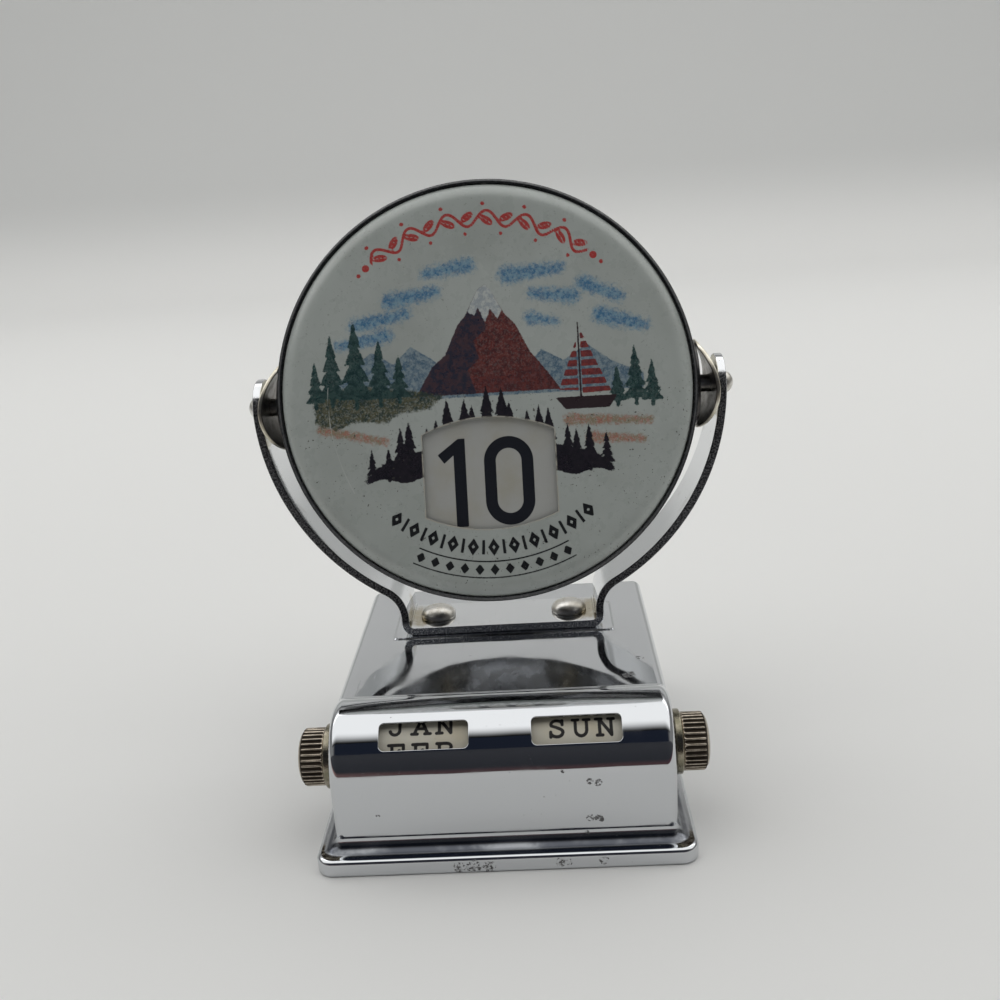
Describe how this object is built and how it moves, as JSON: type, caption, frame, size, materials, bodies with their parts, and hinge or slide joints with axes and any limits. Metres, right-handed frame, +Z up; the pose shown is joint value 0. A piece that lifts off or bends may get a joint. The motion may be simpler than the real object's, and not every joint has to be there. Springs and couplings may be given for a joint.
{
  "type": "perpetual desk calendar",
  "caption": "Flip-over perpetual desk calendar: a drum of sliding date tiles in a yoke, on a chrome base with month and weekday rollers turned by side knobs.",
  "frame": {"origin": "centre of the base's underside, on the table", "axes": "+X to the right seen from the front, +Y to the back, +Z up; the printed face looks towards -Y"},
  "size_m": [0.0842, 0.064, 0.101],
  "materials": {
    "chrome": "bright chrome plate over pressed steel, lightly pitted",
    "yoke_chrome": "chrome strip with dark sheared edges",
    "aged_nickel": "tarnished nickel",
    "knob_nickel": "brown tarnished nickel with knurls",
    "washer_nickel": "yellowed nickel",
    "dark_steel": "dark oiled steel",
    "plain_steel": "plain drawn steel",
    "spring_steel": "blued spring steel",
    "brass": "turned brass",
    "fibreboard": "pressed fibreboard",
    "guide_board": "pressed board",
    "roller_plastic": "moulded plastic",
    "label_paper": "printed paper, black letters on ivory",
    "printed_enamel": "pale grey-white enamel with a printed picture",
    "tile_card": "pale card with dark numerals"
  },
  "bodies": {
    "base": {"base_shell": "chrome", "bottom_cover": "fibreboard", "centre_bracket": "plain_steel", "month_spring": "spring_steel", "day_spring": "spring_steel", "spring_rivets": "plain_steel", "yoke": "yoke_chrome", "yoke_rivets": "aged_nickel", "left_pivot_rivet": "aged_nickel", "right_pivot_rivet": "aged_nickel", "left_spring_washer": "washer_nickel", "right_spring_washer": "washer_nickel"},
    "month": {"month_knob": "knob_nickel", "month_washer": "plain_steel", "month_shaft": "plain_steel", "month_roller": "roller_plastic", "month_band": "label_paper"},
    "day": {"day_knob": "knob_nickel", "day_washer": "plain_steel", "day_shaft": "plain_steel", "day_roller": "roller_plastic", "day_band": "label_paper"},
    "drum": {"left_flat_washer": "dark_steel", "right_flat_washer": "dark_steel", "left_pivot_bush": "brass", "right_pivot_bush": "brass", "drum_hoop": "chrome", "front_face": "printed_enamel", "back_face": "printed_enamel", "left_tile_guide": "guide_board", "right_tile_guide": "guide_board", "upper_tile_stop": "guide_board", "lower_tile_stop": "guide_board"},
    "tiles": {"front_date_tile": "tile_card", "middle_date_tiles": "tile_card", "back_date_tile": "tile_card"}
  },
  "joints": [
    {"name": "drum_flip", "type": "hinge", "parent": "base", "child": "drum", "pos_m": [0, 0.0118, 0.065], "axis": [1, 0, 0], "continuous": true},
    {"name": "month_spin", "type": "hinge", "parent": "base", "child": "month", "pos_m": [-0.015, -0.0193, 0.0138], "axis": [1, 0, 0], "continuous": true},
    {"name": "day_spin", "type": "hinge", "parent": "base", "child": "day", "pos_m": [0.015, -0.0193, 0.0138], "axis": [1, 0, 0], "continuous": true},
    {"name": "tile_drop", "type": "slide", "parent": "drum", "child": "tiles", "axis": [0, 0.2924, 0.9563], "range_m": [0, 0.0274]}
  ]
}
